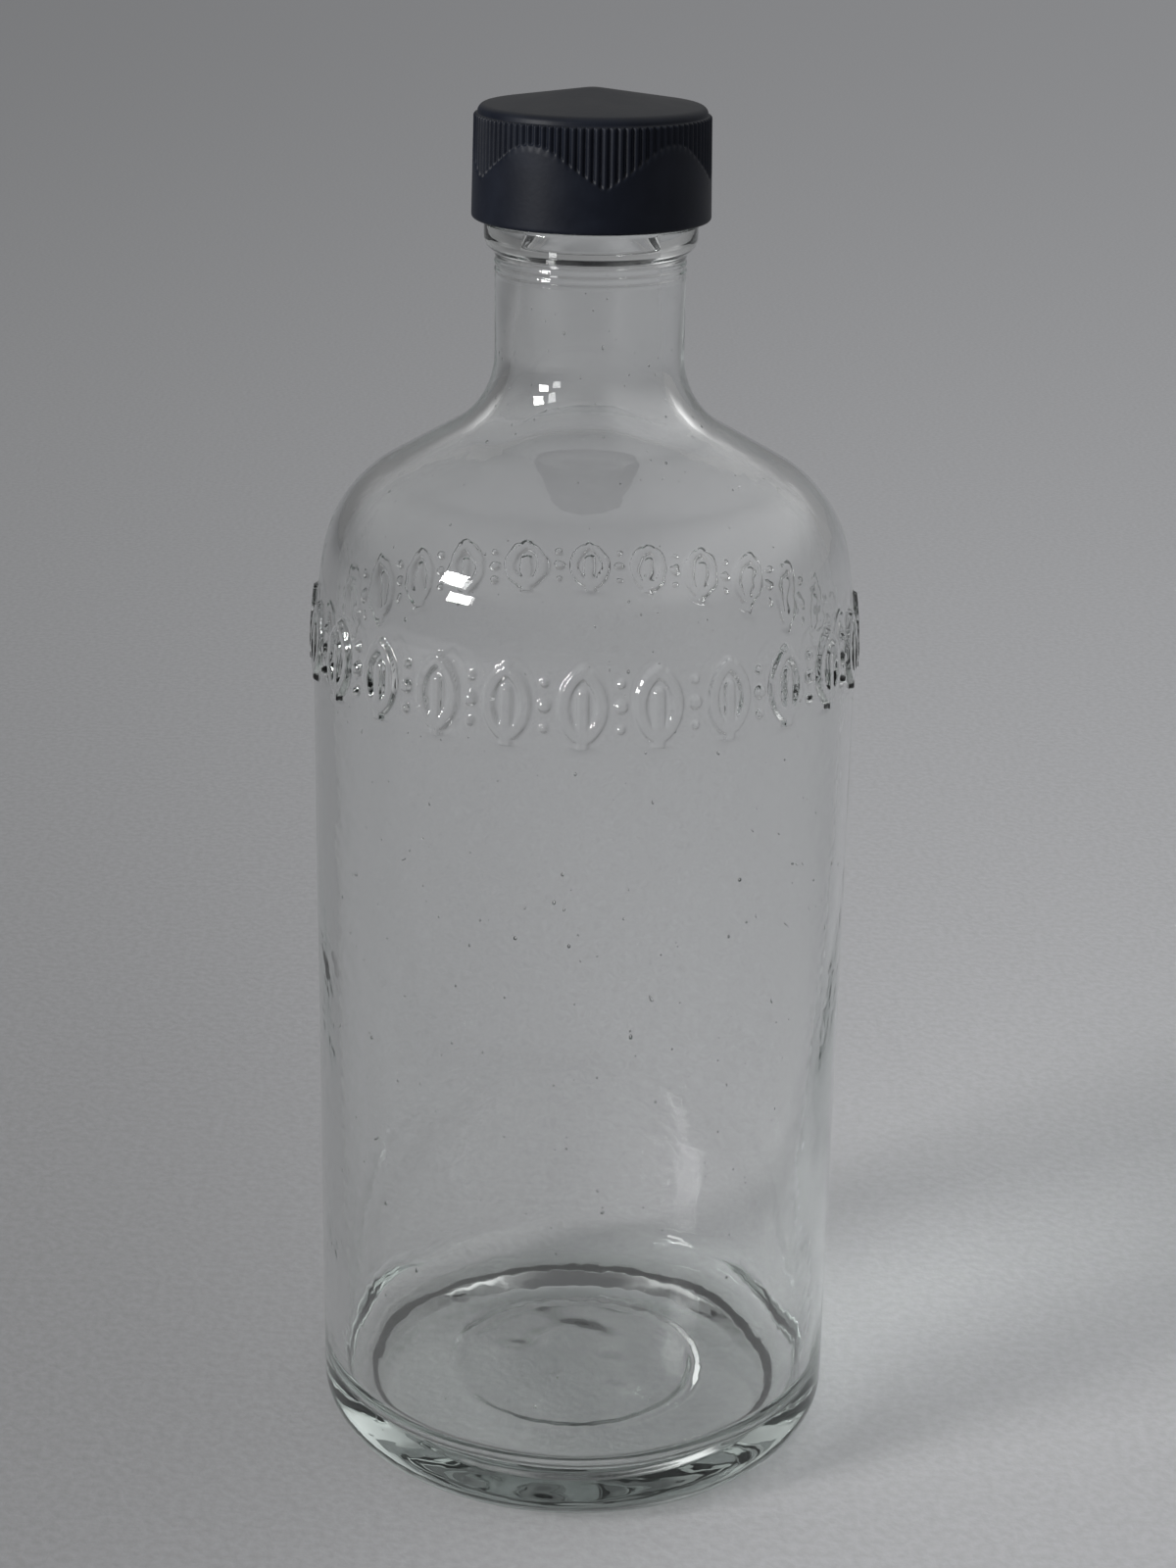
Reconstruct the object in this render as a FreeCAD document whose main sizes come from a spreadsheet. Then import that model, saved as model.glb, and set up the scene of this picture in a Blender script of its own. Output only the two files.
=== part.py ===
"""Tall round glass medicine bottle with a knurled screw cap, in millimetres.

Two pieces share one upright axis: glass_bottle, a hollow round bottle with a drawn-in shoulder,
a plain neck with a transfer bead and a pushed-up base, and screw_cap, a moulded cap whose
knurled band ends below in five smooth arches.  The origin is the middle of the ring that the
bottle stands on, +Z runs up the axis and the front is -Y.  The cap is drawn in a frame of its
own, whose origin is the middle of the lip that it seats on.
"""

import FreeCAD
import Part
import Sketcher

import math
import os

SIZES = [
    # glass: body, heel and base
    ("body_radius", 36.7),
    ("body_wall", 2.8),
    ("heel_radius", 6.2),
    ("bearing_width", 1.8),
    ("push_up_height", 2.6),
    ("floor_height", 7.5),
    ("floor_crown", 1.0),
    ("floor_corner_radius", 8.0),
    ("base_ring_radius", 17.8),
    ("base_ring_bead", 0.55),
    # glass: shoulder, neck and bore
    ("shoulder_start_height", 112.6),
    ("shoulder_sweep_radius", 98.4),
    ("shoulder_knuckle_rise", 17.25),
    ("shoulder_knuckle_radius", 16.4),
    ("shoulder_slope", 29.8),
    ("neck_fillet_radius", 11.3),
    ("neck_length", 15.4),
    ("bore_radius", 9.1),
    # glass: transfer bead and finish
    ("finish_wall", 3.5),
    ("finish_length", 12.6),
    ("lip_round", 0.9),
    ("bead_ledge", 0.77),
    ("bead_top_radius", 0.5),
    ("bead_face_depth", 1.5),
    ("bead_under_radius", 2.2),
    ("bead_stand_out", 1.42),
    # cap: outside
    ("cap_turn", 24.2),
    ("cap_skirt_gap", 0.2),
    ("cap_wall", 1.85),
    ("cap_draft", 1.2),
    ("cap_foot_round", 0.4),
    ("crown_slope", 9.0),
    ("crown_tip_radius", 9.0),
    ("rim_round", 1.1),
    ("rim_ring_height", 0.09),
    ("knurl_top_height", 0.75),
    # cap: inside
    ("cap_bore_clearance", 1.05),
    ("cap_bore_corner", 0.8),
    # cap: knurling and arches
    ("groove_count", 95),
    ("groove_depth", 0.42),
    ("ridge_drop", 0.035),
    ("groove_runout_step", 0.06),
    ("cutter_gap", 0.1),
    ("cutter_ring_width", 1.5),
    ("arch_count", 5),
    ("arch_crown_height", 10.5),
    ("arch_crown_radius", 6.1),
    ("arch_flank_slope", 36.0),
    ("arch_overlap", 0.6),
]

# Lengths that follow from the sizes, written as expressions of the sheet.
BEARING_OUTER = "(sizes.body_radius - sizes.heel_radius)"
BEARING_INNER = f"({BEARING_OUTER} - sizes.bearing_width)"
DOME_RADIUS = f"(({BEARING_INNER} ^ 2 + sizes.push_up_height ^ 2) / (2 * sizes.push_up_height))"
FLOOR_RADIUS = "(sizes.body_radius - sizes.body_wall - sizes.floor_corner_radius)"
FINISH_RADIUS = "(sizes.bore_radius + sizes.finish_wall)"
BEAD_RADIUS = f"({FINISH_RADIUS} + sizes.bead_ledge + sizes.bead_top_radius)"
NECK_RADIUS = f"({BEAD_RADIUS} - sizes.bead_stand_out)"
LIP_HEIGHT = "outside_section.Constraints.lip_height"
CAP_BORE_RADIUS = f"({FINISH_RADIUS} + sizes.cap_bore_clearance)"
CAP_RADIUS = f"({CAP_BORE_RADIUS} + sizes.cap_wall)"
SKIRT_DEPTH = "(sizes.finish_length - sizes.cap_skirt_gap)"
DRAFT_RUN = "tan(sizes.cap_draft * 1 deg)"
KNURL_TOP_RADIUS = f"({CAP_RADIUS} - ({SKIRT_DEPTH} + sizes.knurl_top_height) * {DRAFT_RUN})"
RING_RADIUS = f"({KNURL_TOP_RADIUS} - sizes.groove_depth - sizes.groove_runout_step)"
GROOVE_SPREAD = (
    f"(pi * {CAP_RADIUS} / sizes.groove_count / (sizes.groove_depth - sizes.ridge_drop))"
)
HALF_ARCH = f"({CAP_RADIUS} * sin(180 deg / sizes.arch_count) + sizes.arch_overlap)"


def work_out(item, expression):
    """The number that an expression of the sheet comes to."""
    return float(item.evalExpression(expression))


def write_sheet(doc):
    """Puts every driving size into the spreadsheet, one alias to a row."""
    sheet = doc.addObject("Spreadsheet::Sheet", "sizes")
    for row, (alias, value) in enumerate(SIZES, start=1):
        sheet.set(f"A{row}", alias)
        sheet.set(f"B{row}", str(value))
        sheet.setAlias(f"B{row}", alias)
    doc.recompute()
    return sheet


def new_body(doc, name):
    body = doc.addObject("PartDesign::Body", name)
    body.Label = name
    return body


def new_sketch(body, name, plane):
    """A sketch of the body, lying on the origin plane of that role."""
    sketch = body.newObject("Sketcher::SketchObject", name)
    flat = next(item for item in body.Origin.OriginFeatures if item.Role == plane)
    sketch.AttachmentSupport = [(flat, "")]
    sketch.MapMode = "FlatFace"
    return sketch


class Outline:
    """A closed chain of lines and arcs in a sketch, each end joined to the next start.

    The first coordinates are only a start for the solver: the sizes come from the sheet.
    """

    def __init__(self, sketch):
        self.sketch = sketch
        self.parts = []

    def line(self, start, end):
        edge = Part.LineSegment(FreeCAD.Vector(*start, 0), FreeCAD.Vector(*end, 0))
        self.parts.append((self.sketch.addGeometry(edge), 1, 2))
        return len(self.parts) - 1

    def arc(self, centre, radius, first, last):
        """An arc from the angle first to the angle last, in degrees, either way round."""
        circle = Part.Circle(FreeCAD.Vector(*centre, 0), FreeCAD.Vector(0, 0, 1), radius)
        low, high = sorted((math.radians(first), math.radians(last)))
        ends = (1, 2) if first < last else (2, 1)
        self.parts.append((self.sketch.addGeometry(Part.ArcOfCircle(circle, low, high)), *ends))
        return len(self.parts) - 1

    def circle(self, centre, radius):
        """A full circle, for which start and end both mean its centre."""
        circle = Part.Circle(FreeCAD.Vector(*centre, 0), FreeCAD.Vector(0, 0, 1), radius)
        self.parts.append((self.sketch.addGeometry(circle), 3, 3))
        return len(self.parts) - 1

    def start(self, index):
        edge, start, _ = self.parts[index]
        return edge, start

    def end(self, index):
        edge, _, end = self.parts[index]
        return edge, end

    def rule(self, kind, *where):
        return self.sketch.addConstraint(Sketcher.Constraint(kind, *where))

    def close(self, smooth):
        """Joins the chain; smooth names the parts that run on into the next one smoothly."""
        for index in range(len(self.parts)):
            kind = "Tangent" if index in smooth else "Coincident"
            self.rule(kind, *self.end(index), *self.start((index + 1) % len(self.parts)))

    def upright(self, *indices):
        for index in indices:
            self.rule("Vertical", self.parts[index][0])

    def level(self, *indices):
        for index in indices:
            self.rule("Horizontal", self.parts[index][0])

    def centre_on_axis(self, index):
        self.rule("PointOnObject", self.parts[index][0], 3, -2)

    def bound(self, name, expression, kind, *where):
        """A named dimension that takes its value from the sheet."""
        value = work_out(self.sketch, expression)
        if kind == "Angle":
            value = math.radians(value)
        number = self.rule(kind, *where, value)
        self.sketch.renameConstraint(number, name)
        unit = " * 1 deg" if kind == "Angle" else ""
        self.sketch.setExpression(f"Constraints.{name}", f"({expression}){unit}")

    def radius(self, index, expression, name):
        self.bound(name, expression, "Radius", self.parts[index][0])

    def across(self, point, expression, name):
        """The point's distance from the upright axis."""
        self.bound(name, expression, "DistanceX", -1, 1, *point)

    def up(self, point, expression, name):
        """The point's height over the sketch's origin."""
        self.bound(name, expression, "DistanceY", -1, 1, *point)

    def between(self, low, high, expression, name):
        """The height from one point up to another."""
        self.bound(name, expression, "DistanceY", *low, *high)

    def read_height(self, point, height, name):
        """A named dimension that only reads how high the finished outline puts the point."""
        number = self.rule("DistanceY", -1, 1, *point, height)
        self.sketch.setDriving(number, False)
        self.sketch.renameConstraint(number, name)

    def on_axis(self, point):
        self.rule("PointOnObject", *point, -2)


def revolve(body, kind, name, sketch):
    """Turns the section once round the upright axis, as a Revolution or as a Groove."""
    feature = body.newObject(f"PartDesign::{kind}", name)
    feature.Profile = sketch
    feature.ReferenceAxis = (sketch, ["V_Axis"])
    feature.Angle = 360
    sketch.Visibility = False
    return feature


def repeat_round(body, name, feature, count):
    """Repeats a feature all the way round the body's upright axis."""
    pattern = body.newObject("PartDesign::PolarPattern", name)
    pattern.Originals = [feature]
    upright = next(item for item in body.Origin.OriginFeatures if item.Role == "Z_Axis")
    pattern.Axis = (upright, [""])
    pattern.Angle = 360
    pattern.setExpression("Occurrences", count)
    body.Tip = pattern
    return pattern


def shoulder(chain, size, inset, foot, neck, fillet):
    """Adds wall, shoulder and neck fillet to a chain, as three arcs and the slope between them.

    The glass outside has inset 0, and the inside lies one wall further in.  The chain enters at
    the foot of the straight wall.  Gives the parts, and the height at which the neck starts.
    """
    sketch = chain.sketch
    wall_radius = work_out(sketch, f"sizes.body_radius - {inset}")
    sweep = work_out(sketch, f"sizes.shoulder_sweep_radius - {inset}")
    knuckle = work_out(sketch, f"sizes.shoulder_knuckle_radius - {inset}")
    base = size["shoulder_start_height"]
    turn = math.asin(size["shoulder_knuckle_rise"] / size["shoulder_sweep_radius"])
    lean = math.degrees(turn)
    slope = size["shoulder_slope"]
    tilt = math.radians(slope)
    step = sweep - knuckle
    centre = (wall_radius - sweep + step * math.cos(turn), base + step * math.sin(turn))
    top = (centre[0] + knuckle * math.sin(tilt), centre[1] + knuckle * math.cos(tilt))
    low_end = neck + fillet * (1 - math.sin(tilt))
    low_height = top[1] + (top[0] - low_end) * math.tan(tilt)
    neck_start = low_height + fillet * math.cos(tilt)

    wall = chain.line((wall_radius, foot), (wall_radius, base))
    first = chain.arc((wall_radius - sweep, base), sweep, 0, lean)
    second = chain.arc(centre, knuckle, lean, 90 - slope)
    fall = chain.line(top, (low_end, low_height))
    hollow = chain.arc((neck + fillet, neck_start), fillet, 270 - slope, 180)
    return (wall, first, second, fall, hollow), neck_start


def bind_shoulder(chain, parts, inset):
    """Binds what the shoulder's five parts have in common on both sides of the glass."""
    wall, sweep, knuckle, slope, hollow = parts
    knuckle_rise = "sizes.shoulder_knuckle_rise / sizes.shoulder_sweep_radius"
    chain.upright(wall)
    chain.across(chain.end(wall), f"sizes.body_radius - {inset}", "wall_radius")
    chain.up(chain.end(wall), "sizes.shoulder_start_height", "wall_top")
    chain.radius(sweep, f"sizes.shoulder_sweep_radius - {inset}", "sweep_radius")
    knuckle_lift = f"(sizes.shoulder_sweep_radius - {inset}) * {knuckle_rise}"
    chain.between(chain.end(wall), chain.end(sweep), knuckle_lift, "knuckle_lift")
    chain.radius(knuckle, f"sizes.shoulder_knuckle_radius - {inset}", "knuckle_radius")
    chain.bound("slope", "180 - sizes.shoulder_slope", "Angle", chain.parts[slope][0])
    chain.radius(hollow, f"sizes.neck_fillet_radius + {inset}", "neck_fillet")


def glass_outside(body, size):
    """The solid outside of the bottle: base, heel, wall, shoulder, neck, bead and finish."""
    sketch = new_sketch(body, "outside_section", "XZ_Plane")
    chain = Outline(sketch)
    heel = size["heel_radius"]
    ring = work_out(sketch, BEARING_OUTER)
    inner = work_out(sketch, BEARING_INNER)
    rise = size["push_up_height"]
    dome = work_out(sketch, DOME_RADIUS)
    spread = math.degrees(math.asin(inner / dome))
    neck = work_out(sketch, NECK_RADIUS)
    bead = work_out(sketch, BEAD_RADIUS)
    under = size["bead_under_radius"]
    reach = math.acos(1 - size["bead_stand_out"] / under)
    top_round = size["bead_top_radius"]
    finish = work_out(sketch, FINISH_RADIUS)
    edge = size["lip_round"]

    push_up = chain.arc((0, rise - dome), dome, 90, 90 - spread)
    bearing = chain.line((inner, 0), (ring, 0))
    heel_arc = chain.arc((ring, heel), heel, 270, 360)
    parts, neck_start = shoulder(chain, size, "0", heel, neck, size["neck_fillet_radius"])
    face = neck_start + size["neck_length"]
    face_top = face + size["bead_face_depth"]
    bead_top = face_top + top_round
    lip = bead_top + size["finish_length"]
    neck_wall = chain.line((neck, neck_start), (neck, face - under * math.sin(reach)))
    bead_under = chain.arc((bead - under, face), under, -math.degrees(reach), 0)
    bead_face = chain.line((bead, face), (bead, face_top))
    bead_over = chain.arc((bead - top_round, face_top), top_round, 0, 90)
    bead_roof = chain.line((bead - top_round, bead_top), (finish, bead_top))
    finish_wall = chain.line((finish, bead_top), (finish, lip - edge))
    lip_arc = chain.arc((finish - edge, lip - edge), edge, 0, 90)
    lip_land = chain.line((finish - edge, lip), (0, lip))
    axis = chain.line((0, lip), (0, rise))

    smooth = {bearing, heel_arc, *parts, bead_under, bead_face, bead_over, finish_wall, lip_arc}
    chain.close(smooth)
    chain.level(bearing, bead_roof, lip_land)
    chain.upright(neck_wall, bead_face, finish_wall, axis)
    chain.centre_on_axis(push_up)
    chain.on_axis(chain.start(push_up))
    chain.up(chain.start(push_up), "sizes.push_up_height", "push_up")
    chain.across(chain.start(bearing), BEARING_INNER, "bearing_inner")
    chain.rule("PointOnObject", *chain.start(bearing), -1)
    chain.radius(heel_arc, "sizes.heel_radius", "heel_radius")
    bind_shoulder(chain, parts, "0")
    chain.across(chain.end(neck_wall), NECK_RADIUS, "neck_radius")
    chain.radius(bead_under, "sizes.bead_under_radius", "bead_under")
    face_foot = chain.start(bead_face)
    chain.across(face_foot, BEAD_RADIUS, "bead_radius")
    chain.between(chain.start(neck_wall), face_foot, "sizes.neck_length", "neck_length")
    chain.between(face_foot, chain.end(bead_face), "sizes.bead_face_depth", "face_depth")
    chain.radius(bead_over, "sizes.bead_top_radius", "bead_over")
    finish_foot = chain.start(finish_wall)
    chain.across(finish_foot, FINISH_RADIUS, "finish_radius")
    chain.radius(lip_arc, "sizes.lip_round", "lip_round")
    chain.between(finish_foot, chain.start(axis), "sizes.finish_length", "finish_length")
    chain.read_height(chain.start(axis), lip, "lip_height")
    return revolve(body, "Revolution", "outside", sketch)


def glass_inside(body, size):
    """The hollow: a crowned floor, the wall one glass thickness in, and the open bore."""
    sketch = new_sketch(body, "inside_section", "XZ_Plane")
    chain = Outline(sketch)
    corner = size["floor_corner_radius"]
    floor = size["floor_height"]
    crown = size["floor_crown"]
    flat = work_out(sketch, FLOOR_RADIUS)
    dome = (flat**2 + crown**2) / (2 * crown)
    spread = math.degrees(math.asin(flat / dome))
    bore = size["bore_radius"]
    edge = size["lip_round"]
    lip = work_out(sketch, LIP_HEIGHT)
    fillet = size["neck_fillet_radius"] + size["body_wall"]

    floor_arc = chain.arc((0, floor + crown - dome), dome, 90, 90 - spread)
    corner_arc = chain.arc((flat, floor + corner), corner, 270, 360)
    wall_foot = floor + corner
    parts, neck_start = shoulder(chain, size, "sizes.body_wall", wall_foot, bore, fillet)
    bore_wall = chain.line((bore, neck_start), (bore, lip - edge))
    flare = chain.arc((bore + edge, lip - edge), edge, 180, 90)
    clear = chain.line((bore + edge, lip), (bore + edge, lip + edge))
    roof = chain.line((bore + edge, lip + edge), (0, lip + edge))
    axis = chain.line((0, lip + edge), (0, floor + crown))

    chain.close({corner_arc, *parts, bore_wall})
    chain.level(roof)
    chain.upright(bore_wall, clear, axis)
    chain.centre_on_axis(floor_arc)
    chain.on_axis(chain.start(floor_arc))
    chain.up(chain.start(floor_arc), "sizes.floor_height + sizes.floor_crown", "crown_height")
    chain.up(chain.end(floor_arc), "sizes.floor_height", "floor_height")
    chain.radius(corner_arc, "sizes.floor_corner_radius", "floor_corner")
    chain.across(chain.end(floor_arc), FLOOR_RADIUS, "floor_radius")
    bind_shoulder(chain, parts, "sizes.body_wall")
    chain.across(chain.end(bore_wall), "sizes.bore_radius", "bore_radius")
    chain.radius(flare, "sizes.lip_round", "lip_flare")
    chain.up(chain.end(flare), LIP_HEIGHT, "lip_height")
    chain.between(chain.start(clear), chain.end(clear), "sizes.lip_round", "cut_over")
    chain.rule("Vertical", chain.parts[flare][0], 3, *chain.end(flare))
    return revolve(body, "Groove", "inside", sketch)


def base_ring(body, size):
    """A fine half-round ring pressed into the pushed-up base, as a bottle machine leaves it."""
    sketch = new_sketch(body, "base_ring_section", "XZ_Plane")
    on_dome = (
        f"sqrt({DOME_RADIUS} ^ 2 - sizes.base_ring_radius ^ 2)"
        f" - {DOME_RADIUS} + sizes.push_up_height"
    )
    chain = Outline(sketch)
    place = (size["base_ring_radius"], work_out(sketch, on_dome))
    ring = chain.circle(place, size["base_ring_bead"])
    chain.radius(ring, "sizes.base_ring_bead", "ring_bead")
    chain.across(chain.start(ring), "sizes.base_ring_radius", "ring_radius")
    chain.up(chain.start(ring), on_dome, "ring_height")
    return revolve(body, "Groove", "base_ring", sketch)


def make_bottle(doc, size):
    body = new_body(doc, "glass_bottle")
    glass_outside(body, size)
    doc.recompute()
    glass_inside(body, size)
    doc.recompute()
    base_ring(body, size)
    doc.recompute()
    return body


def cap_blank(doc, size):
    """The cap before knurling: shallow cone, rounded rim, drafted skirt and open bore."""
    body = new_body(doc, "cap_blank")
    sketch = new_sketch(body, "cap_section", "XZ_Plane")
    chain = Outline(sketch)
    skirt = work_out(sketch, SKIRT_DEPTH)
    draft = size["cap_draft"]
    foot = size["cap_foot_round"]
    knurl_top = size["knurl_top_height"]
    side_top = work_out(sketch, KNURL_TOP_RADIUS)
    ring = work_out(sketch, RING_RADIUS)
    slope = size["crown_slope"]
    tilt = math.radians(slope)
    rim = size["rim_round"]
    rim_height = knurl_top + size["rim_ring_height"]
    cone_foot = (ring - rim * (1 - math.sin(tilt)), rim_height + rim * math.cos(tilt))
    tip = size["crown_tip_radius"]
    cone_side = tip * math.sin(tilt)
    cone_height = cone_foot[1] + (cone_foot[0] - cone_side) * math.tan(tilt)
    crown = cone_height + tip * (1 - math.cos(tilt))
    bore = work_out(sketch, CAP_BORE_RADIUS)
    corner = size["cap_bore_corner"]
    outer = work_out(sketch, CAP_RADIUS)

    tip_arc = chain.arc((0, crown - tip), tip, 90, 90 - slope)
    cone = chain.line((cone_side, cone_height), cone_foot)
    rim_arc = chain.arc((ring - rim, rim_height), rim, 90 - slope, 0)
    ring_wall = chain.line((ring, rim_height), (ring, knurl_top))
    step = chain.line((ring, knurl_top), (side_top, knurl_top))
    side = chain.line((side_top, knurl_top), (outer, foot - skirt))
    foot_arc = chain.arc((outer - foot, foot - skirt), foot, -draft, -90)
    sole = chain.line((outer - foot, -skirt), (bore, -skirt))
    bore_wall = chain.line((bore, -skirt), (bore, -corner))
    corner_arc = chain.arc((bore - corner, -corner), corner, 0, 90)
    seat = chain.line((bore - corner, 0), (0, 0))
    axis = chain.line((0, 0), (0, crown))

    chain.close({tip_arc, cone, rim_arc, side, foot_arc, bore_wall, corner_arc})
    chain.level(step, sole, seat)
    chain.upright(ring_wall, bore_wall, axis)
    chain.centre_on_axis(tip_arc)
    chain.radius(tip_arc, "sizes.crown_tip_radius", "tip_radius")
    chain.bound("cone_slope", "-sizes.crown_slope", "Angle", chain.parts[cone][0])
    chain.radius(rim_arc, "sizes.rim_round", "rim_round")
    ring_foot = chain.end(ring_wall)
    chain.between(ring_foot, chain.start(ring_wall), "sizes.rim_ring_height", "rim_ring")
    chain.across(ring_foot, RING_RADIUS, "ring_radius")
    chain.up(ring_foot, "sizes.knurl_top_height", "knurl_top")
    chain.bound("side_draft", "-90 + sizes.cap_draft", "Angle", chain.parts[side][0])
    side_foot = f"{CAP_RADIUS} - sizes.cap_foot_round * {DRAFT_RUN}"
    chain.across(chain.end(side), side_foot, "side_foot")
    chain.radius(foot_arc, "sizes.cap_foot_round", "foot_round")
    chain.rule("PointOnObject", *chain.start(axis), -1)
    chain.on_axis(chain.start(axis))
    chain.across(chain.end(sole), CAP_BORE_RADIUS, "bore_radius")
    chain.bound("skirt_depth", SKIRT_DEPTH, "DistanceY", *chain.end(sole), -1, 1)
    chain.radius(corner_arc, "sizes.cap_bore_corner", "bore_corner")
    revolve(body, "Revolution", "cap_solid", sketch)
    doc.recompute()
    return body


def arch_blocks(doc, size):
    """Five blocks round the axis that keep the knurling out of the smooth arches."""
    body = new_body(doc, "arch_blocks")
    sketch = new_sketch(body, "arch_section", "YZ_Plane")
    chain = Outline(sketch)
    skirt = work_out(sketch, SKIRT_DEPTH)
    crown = size["arch_crown_height"] - skirt
    radius = size["arch_crown_radius"]
    slope = size["arch_flank_slope"]
    tilt = math.radians(slope)
    half = work_out(sketch, HALF_ARCH)
    shoulder_side = radius * math.sin(tilt)
    shoulder_height = crown - radius * (1 - math.cos(tilt))
    foot_height = shoulder_height - (half - shoulder_side) * math.tan(tilt)
    low = -skirt - size["cutter_ring_width"]

    crown_arc = chain.arc((0, crown - radius), radius, 90 + slope, 90 - slope)
    right = chain.line((shoulder_side, shoulder_height), (half, foot_height))
    right_side = chain.line((half, foot_height), (half, low))
    floor = chain.line((half, low), (-half, low))
    left_side = chain.line((-half, low), (-half, foot_height))
    left = chain.line((-half, foot_height), (-shoulder_side, shoulder_height))

    chain.close({crown_arc, left})
    chain.upright(right_side, left_side)
    chain.centre_on_axis(crown_arc)
    chain.rule("Symmetric", *chain.start(floor), *chain.end(floor), -2)
    chain.rule("Symmetric", *chain.start(crown_arc), *chain.end(crown_arc), -2)
    chain.radius(crown_arc, "sizes.arch_crown_radius", "crown_radius")
    crown_middle = f"{SKIRT_DEPTH} - sizes.arch_crown_height + sizes.arch_crown_radius"
    chain.bound("crown_middle", crown_middle, "DistanceY", chain.parts[crown_arc][0], 3, -1, 1)
    chain.bound("flank_slope", "-sizes.arch_flank_slope", "Angle", chain.parts[right][0])
    chain.across(chain.start(floor), HALF_ARCH, "half_arch")
    block_foot = f"{SKIRT_DEPTH} + sizes.cutter_ring_width"
    chain.bound("block_foot", block_foot, "DistanceY", *chain.start(floor), -1, 1)
    pad = body.newObject("PartDesign::Pad", "arch_block")
    pad.Profile = sketch
    pad.setExpression("Length", f"{CAP_RADIUS} + 2 * sizes.cutter_ring_width")
    doc.recompute()
    repeat_round(body, "five_arches", pad, "sizes.arch_count")
    doc.recompute()
    return body


def groove_tooth(body, name, height, floor_radius):
    """The V of one knurl groove at one height: its point at the groove's floor."""
    sketch = new_sketch(body, name, "XY_Plane")
    sketch.setExpression("AttachmentOffset.Base.z", height)
    chain = Outline(sketch)
    full_reach = "(sizes.groove_depth + 2 * sizes.cutter_gap)"
    mouth = f"2 * {full_reach} * {GROOVE_SPREAD}"
    start = work_out(sketch, floor_radius)
    reach = work_out(sketch, full_reach)
    half = work_out(sketch, mouth) / 2
    chain.line((start, 0), (start + reach, -half))
    back = chain.line((start + reach, -half), (start + reach, half))
    chain.line((start + reach, half), (start, 0))
    chain.close(set())
    chain.rule("PointOnObject", *chain.start(0), -1)
    chain.rule("Symmetric", *chain.start(back), *chain.end(back), -1)
    chain.across(chain.start(0), floor_radius, "floor_radius")
    chain.across(chain.start(back), f"{floor_radius} + {full_reach}", "back_radius")
    chain.between(chain.start(back), chain.end(back), mouth, "mouth")
    return sketch


def groove_cutters(doc):
    """A ring round the cap with one tooth for every knurl groove, following the draft."""
    body = new_body(doc, "groove_cutters")
    sketch = new_sketch(body, "cutter_ring_section", "XZ_Plane")
    chain = Outline(sketch)
    low = f"({SKIRT_DEPTH} + sizes.cutter_gap)"
    high = "(sizes.knurl_top_height + sizes.cutter_gap)"
    low_radius = f"({CAP_RADIUS} + sizes.cutter_gap * {DRAFT_RUN})"
    high_radius = f"({KNURL_TOP_RADIUS} - sizes.cutter_gap * {DRAFT_RUN})"
    ring_outer = f"{CAP_RADIUS} + sizes.cutter_ring_width"
    bottom = -work_out(sketch, low)
    top = work_out(sketch, high)
    inner_low = work_out(sketch, f"{low_radius} + sizes.cutter_gap")
    inner_high = work_out(sketch, f"{high_radius} + sizes.cutter_gap")
    outer = work_out(sketch, ring_outer)
    inner = chain.line((inner_low, bottom), (inner_high, top))
    roof = chain.line((inner_high, top), (outer, top))
    back = chain.line((outer, top), (outer, bottom))
    floor = chain.line((outer, bottom), (inner_low, bottom))
    chain.close(set())
    chain.level(roof, floor)
    chain.upright(back)
    chain.across(chain.start(inner), f"{low_radius} + sizes.cutter_gap", "inner_low")
    chain.across(chain.end(inner), f"{high_radius} + sizes.cutter_gap", "inner_high")
    chain.across(chain.start(back), ring_outer, "outer")
    chain.up(chain.end(inner), high, "ring_top")
    chain.bound("ring_foot", low, "DistanceY", *chain.start(inner), -1, 1)
    revolve(body, "Revolution", "cutter_ring", sketch)
    doc.recompute()

    low_floor = f"({low_radius} - sizes.groove_depth)"
    high_floor = f"({high_radius} - sizes.groove_depth)"
    lower = groove_tooth(body, "tooth_foot", f"-{low}", low_floor)
    upper = groove_tooth(body, "tooth_head", high, high_floor)
    doc.recompute()
    tooth = body.newObject("PartDesign::AdditiveLoft", "tooth")
    tooth.Profile = lower
    tooth.Sections = [upper]
    tooth.Ruled = True
    doc.recompute()
    repeat_round(body, "all_teeth", tooth, "sizes.groove_count")
    doc.recompute()
    return body


def make_cap(doc, size):
    """The knurled cap: the blank less the groove teeth that the arches leave standing."""
    knurl = doc.addObject("Part::Cut", "knurl_cutters")
    knurl.Base = groove_cutters(doc)
    knurl.Tool = arch_blocks(doc, size)
    doc.recompute()
    cap = doc.addObject("Part::Cut", "screw_cap")
    cap.Label = "screw_cap"
    cap.Base = cap_blank(doc, size)
    cap.Tool = knurl
    cap.setExpression("Placement.Base.z", LIP_HEIGHT)
    cap.setExpression("Placement.Rotation.Angle", "sizes.cap_turn * 1 deg")
    doc.recompute()
    return cap


def check(doc, pieces):
    """Stops the build if an object of the document or one of the pieces is unsound."""
    for item in doc.Objects:
        if "Invalid" in item.State or "Error" in item.State:
            raise RuntimeError(f"{item.Name} failed: {item.State}")
        if item.isDerivedFrom("Sketcher::SketchObject") and not item.FullyConstrained:
            raise RuntimeError(f"{item.Name} is not fully constrained")
    for piece in pieces:
        shape = piece.Shape
        if shape.isNull() or not shape.isValid() or len(shape.Solids) != 1:
            raise RuntimeError(f"{piece.Label} is not one valid solid")


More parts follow.
